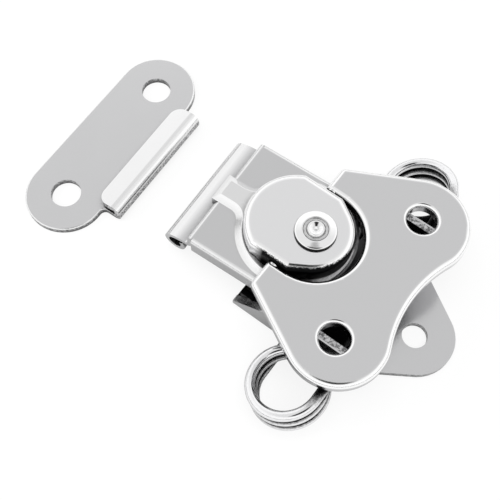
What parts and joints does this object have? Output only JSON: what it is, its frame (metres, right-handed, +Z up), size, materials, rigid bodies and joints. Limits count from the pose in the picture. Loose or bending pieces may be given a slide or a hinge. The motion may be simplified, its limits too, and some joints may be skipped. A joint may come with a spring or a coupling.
{
  "type": "flight case latch",
  "caption": "Sprung rotary draw latch: folding wing handle turns an eccentric cam that draws a rolled hook link onto a separate keeper plate.",
  "frame": {"origin": "turning axis of the handle, on the underside of the base", "axes": "+X from the hook to the tail of the base, +Y across the latch, +Z up out of the panel"},
  "size_m": [0.0754, 0.0513, 0.0152],
  "materials": {
    "plated_sheet": "bright nickel plate on pressed steel",
    "plated_wing": "bright nickel plate on pressed steel",
    "plated_cam": "bright nickel plate on pressed steel",
    "plated_rivet": "bright nickel plate on pressed steel",
    "spring_wire": "plated spring wire"
  },
  "bodies": {
    "base": {"base_plate": "plated_sheet", "torsion_spring_near": "spring_wire", "torsion_spring_far": "spring_wire", "keeper_plate": "plated_sheet"},
    "carriage": {"spring_carriage": "plated_sheet", "pivot_rivet": "plated_rivet", "pivot_bush": "plated_rivet"},
    "cam": {"cam_drum": "plated_cam", "cam_retainer": "plated_sheet"},
    "wing": {"wing_handle": "plated_wing"},
    "link": {"hook_link": "plated_sheet"}
  },
  "joints": [
    {"name": "carriage_slide", "type": "slide", "parent": "base", "child": "carriage", "axis": [-1, 0, 0], "range_m": [0, 0.0025], "stiffness_N_per_m": 4000, "springref_m": -0.002, "deforming": ["torsion_spring_near", "torsion_spring_far"]},
    {"name": "cam_turn", "type": "hinge", "parent": "carriage", "child": "cam", "pos_m": [0, 0, 0.0105], "axis": [0, 0, -1], "range_deg": [0, 180]},
    {"name": "wing_fold", "type": "hinge", "parent": "cam", "child": "wing", "pos_m": [-0.0022, 0, 0.0122], "axis": [0, -1, 0], "range_deg": [0, 90]},
    {"name": "link_swing", "type": "hinge", "parent": "cam", "child": "link", "pos_m": [-0.0034, 0, 0.009], "axis": [0, 0, -1], "range_deg": [-180, 0]}
  ],
  "couplings": [
    {"joint": "link_swing", "follows": "cam_turn", "ratio": -1}
  ]
}
